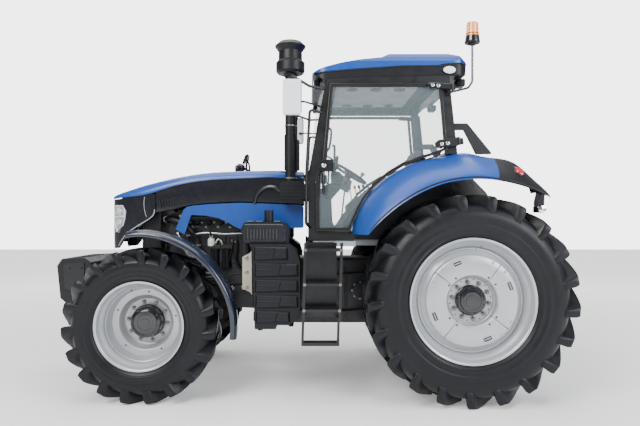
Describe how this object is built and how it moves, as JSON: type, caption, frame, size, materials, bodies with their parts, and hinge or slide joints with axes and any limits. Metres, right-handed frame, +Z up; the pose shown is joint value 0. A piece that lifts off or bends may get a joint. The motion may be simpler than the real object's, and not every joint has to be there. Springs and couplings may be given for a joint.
{
  "type": "farm tractor",
  "caption": "Four-wheel-drive farm tractor with closed cab, front ballast, rear linkage, steered front wheels, lifting hood and rear-hinged cab doors.",
  "frame": {"origin": "on the ground, under the centre of the whole model's box", "axes": "+X forward, +Y to the tractor's left, +Z up"},
  "size_m": [4.9473, 2.47, 3.5039],
  "materials": {
    "paint_blue": "bright blue gloss paint",
    "paint_dark": "dark grey gloss paint",
    "wheel_silver": "silver white paint",
    "tyre_rubber": "moulded tread rubber",
    "black_plastic": "moulded, fine texture",
    "gloss_black": "gloss",
    "iron": "painted casting",
    "steel": "bare steel",
    "glass": "clear",
    "lamp": "clear lens over white reflectors",
    "amber": "amber lens",
    "interior_grey": "light grey moulding",
    "fabric": "woven cloth",
    "silver_shell": "silver shell"
  },
  "bodies": {
    "chassis": {"rear_axle_housing": "iron", "transmission_case": "iron", "engine_block": "iron", "front_frame": "iron", "radiator": "black_plastic", "front_axle": "iron", "front_ballast": "iron", "engine_side_panels": "paint_blue", "intake_stack": "black_plastic", "exhaust_stack": "paint_dark", "cab_frame": "paint_dark", "cab_floor": "interior_grey", "cab_walls": "interior_grey", "cab_windows": "glass", "roof_base": "black_plastic", "roof_cap": "paint_blue", "work_lamps": "lamp", "beacon": "amber", "mirror_arms": "paint_dark", "mirrors": "silver_shell", "grab_rails": "paint_dark", "seat_base": "black_plastic", "seat_cushion": "fabric", "seat_backrest": "fabric", "dashboard": "black_plastic", "side_console": "interior_grey", "rear_fenders": "paint_blue", "fender_tails": "black_plastic", "fuel_tank": "black_plastic", "battery_box": "black_plastic", "cab_steps": "paint_dark", "drawbar": "iron"},
    "steer_left": {"knuckle_left": "iron", "front_fender_left": "black_plastic"},
    "steer_right": {"knuckle_right": "iron", "front_fender_right": "black_plastic"},
    "front_wheel_left": {"front_wheel_left_rim": "wheel_silver", "front_wheel_left_tyre": "tyre_rubber"},
    "front_wheel_right": {"front_wheel_right_rim": "wheel_silver", "front_wheel_right_tyre": "tyre_rubber"},
    "rear_wheel_left": {"rear_wheel_left_rim": "wheel_silver", "rear_wheel_left_tyre": "tyre_rubber"},
    "rear_wheel_right": {"rear_wheel_right_rim": "wheel_silver", "rear_wheel_right_tyre": "tyre_rubber"},
    "steering_wheel": {"steering_wheel": "black_plastic"},
    "door_left": {"door_left": "paint_dark", "door_left_glass": "glass"},
    "door_right": {"door_right": "paint_dark", "door_right_glass": "glass"},
    "hood": {"hood_top": "paint_blue", "hood_sides": "gloss_black", "hood_nose": "black_plastic", "headlights": "lamp"},
    "lower_links": {"lower_links": "iron"},
    "lift_arms": {"lift_arms": "iron"},
    "lift_rods": {"lift_rods": "iron"},
    "pto_shaft": {"pto_shaft": "steel"}
  },
  "joints": [
    {"name": "steer_left", "type": "hinge", "parent": "chassis", "child": "steer_left", "pos_m": [1.4553, 0.64, 0.7], "axis": [0, 0, 1], "range_deg": [-35, 35]},
    {"name": "steer_right", "type": "hinge", "parent": "chassis", "child": "steer_right", "pos_m": [1.4553, -0.64, 0.7], "axis": [0, 0, 1], "range_deg": [-35, 35]},
    {"name": "front_spin_left", "type": "hinge", "parent": "steer_left", "child": "front_wheel_left", "pos_m": [1.4553, 0.89, 0.7], "axis": [0, 1, 0], "continuous": true},
    {"name": "front_spin_right", "type": "hinge", "parent": "steer_right", "child": "front_wheel_right", "pos_m": [1.4553, -0.89, 0.7], "axis": [0, 1, 0], "continuous": true},
    {"name": "rear_spin_left", "type": "hinge", "parent": "chassis", "child": "rear_wheel_left", "pos_m": [-1.5037, 0.97, 0.94], "axis": [0, 1, 0], "continuous": true},
    {"name": "rear_spin_right", "type": "hinge", "parent": "chassis", "child": "rear_wheel_right", "pos_m": [-1.5037, -0.97, 0.94], "axis": [0, 1, 0], "continuous": true},
    {"name": "steering_wheel_turn", "type": "hinge", "parent": "chassis", "child": "steering_wheel", "pos_m": [-0.5037, 0, 2.157], "axis": [-0.5299, 0, 0.848], "range_deg": [-560, 560]},
    {"name": "door_left_hinge", "type": "hinge", "parent": "chassis", "child": "door_left", "pos_m": [-1.4637, 0.882, 2.352], "axis": [0.1219, 0, 0.9925], "range_deg": [0, 70]},
    {"name": "door_right_hinge", "type": "hinge", "parent": "chassis", "child": "door_right", "pos_m": [-1.4637, -0.882, 2.352], "axis": [-0.1219, 0, -0.9925], "range_deg": [0, 70]},
    {"name": "hood_hinge", "type": "hinge", "parent": "chassis", "child": "hood", "pos_m": [-0.0037, 0, 2.122], "axis": [0, -1, 0], "range_deg": [0, 48]},
    {"name": "lower_link_lift", "type": "hinge", "parent": "chassis", "child": "lower_links", "pos_m": [-1.6237, 0, 0.582], "axis": [0, 1, 0], "range_deg": [-15, 30]},
    {"name": "lift_arm_turn", "type": "hinge", "parent": "chassis", "child": "lift_arms", "pos_m": [-1.6237, 0, 1.322], "axis": [0, 1, 0], "range_deg": [-15, 30]},
    {"name": "lift_rod_swing", "type": "hinge", "parent": "lift_arms", "child": "lift_rods", "pos_m": [-2.1437, 0, 1.292], "axis": [0, 1, 0], "range_deg": [-30, 15]},
    {"name": "pto_spin", "type": "hinge", "parent": "chassis", "child": "pto_shaft", "pos_m": [-1.8837, 0, 0.782], "axis": [1, 0, 0], "continuous": true}
  ],
  "couplings": [
    {"joint": "steer_right", "follows": "steer_left", "ratio": 1},
    {"joint": "steering_wheel_turn", "follows": "steer_left", "ratio": 14},
    {"joint": "lift_arm_turn", "follows": "lower_link_lift", "ratio": 1},
    {"joint": "lift_rod_swing", "follows": "lower_link_lift", "ratio": -1}
  ]
}
